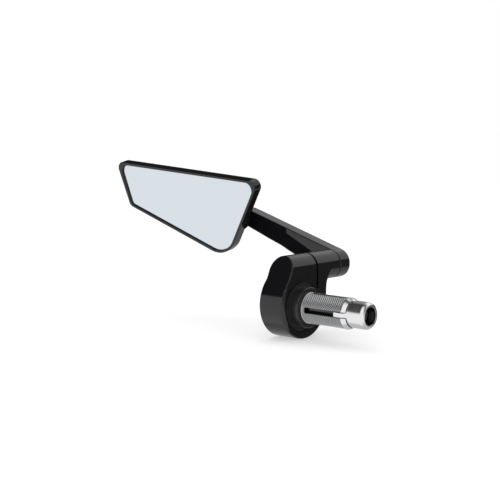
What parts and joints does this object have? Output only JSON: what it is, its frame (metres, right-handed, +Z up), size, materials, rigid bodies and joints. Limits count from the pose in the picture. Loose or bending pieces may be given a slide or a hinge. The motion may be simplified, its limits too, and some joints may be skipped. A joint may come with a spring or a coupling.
{
  "type": "bar-end mirror",
  "caption": "Bar-end rear-view mirror: expanding knurled bar plug, split black hub, flat pivoting arm and slim angular mirror head on a ball joint.",
  "frame": {"origin": "on the handlebar axis, at the collar face where the end of the handlebar tube seats", "axes": "+X along the handlebar axis, inboard, towards the plug nose; +Y along the arm pivot, away from the rider; +Z up"},
  "size_m": [0.2064, 0.0597, 0.0925],
  "materials": {
    "black_collar": "gloss black anodised",
    "knurled_steel": "diamond knurled, satin",
    "turned_bright": "turned, bright",
    "black_oxide": "black oxide",
    "zinc": "zinc plated",
    "black_anodised": "gloss black anodised",
    "friction_polymer": "matte",
    "bronze": "sintered bronze",
    "stud_steel": "ground steel",
    "shell_polymer": "matte",
    "head_black": "gloss black anodised",
    "cup_polymer": "natural polymer",
    "foam_pad": "adhesive foam",
    "mirror": "silvered glass"
  },
  "bodies": {
    "plug": {"bar_collar": "black_collar", "expander_sleeve": "knurled_steel", "screw_washer": "zinc"},
    "screw": {"expander_screw": "black_oxide"},
    "cone": {"expander_cone": "turned_bright"},
    "hub": {"hub_body": "black_anodised", "pivot_bolt": "black_oxide", "bolt_washer": "zinc", "friction_washer": "friction_polymer"},
    "arm": {"arm": "black_anodised", "pivot_bush": "bronze", "ball_stud": "stud_steel", "stud_washer": "zinc"},
    "rear_shell": {"rear_shell": "shell_polymer"},
    "front_shell": {"front_shell": "shell_polymer"},
    "head": {"mirror_frame": "head_black", "ball_cup": "cup_polymer", "retainer_ring": "zinc", "glass_pad": "foam_pad", "mirror_glass": "mirror"}
  },
  "joints": [
    {"name": "expander_turn", "type": "hinge", "parent": "plug", "child": "screw", "pos_m": [0, 0, 0], "axis": [1, 0, 0], "range_deg": [0, 518]},
    {"name": "cone_slide", "type": "slide", "parent": "plug", "child": "cone", "axis": [1, 0, 0], "range_m": [-0.0018, 0]},
    {"name": "hub_swivel", "type": "hinge", "parent": "plug", "child": "hub", "pos_m": [0, 0, 0], "axis": [1, 0, 0], "range_deg": [-180, 180]},
    {"name": "arm_pivot", "type": "hinge", "parent": "hub", "child": "arm", "pos_m": [-0.0133, 0, 0.0196], "axis": [0, 1, 0], "range_deg": [-70, 60]},
    {"name": "head_roll", "type": "hinge", "parent": "arm", "child": "rear_shell", "pos_m": [-0.0776, 0.0276, 0.0424], "axis": [0, 1, 0], "range_deg": [-30, 30]},
    {"name": "head_pitch", "type": "hinge", "parent": "rear_shell", "child": "front_shell", "pos_m": [-0.0776, 0.0276, 0.0424], "axis": [1, 0, 0], "range_deg": [-27, 3]},
    {"name": "head_yaw", "type": "hinge", "parent": "front_shell", "child": "head", "pos_m": [-0.0776, 0.0276, 0.0424], "axis": [0, 0, 1], "range_deg": [-15, 15]}
  ],
  "couplings": [
    {"joint": "cone_slide", "follows": "expander_turn", "m_per_rad": -0.00019894}
  ]
}
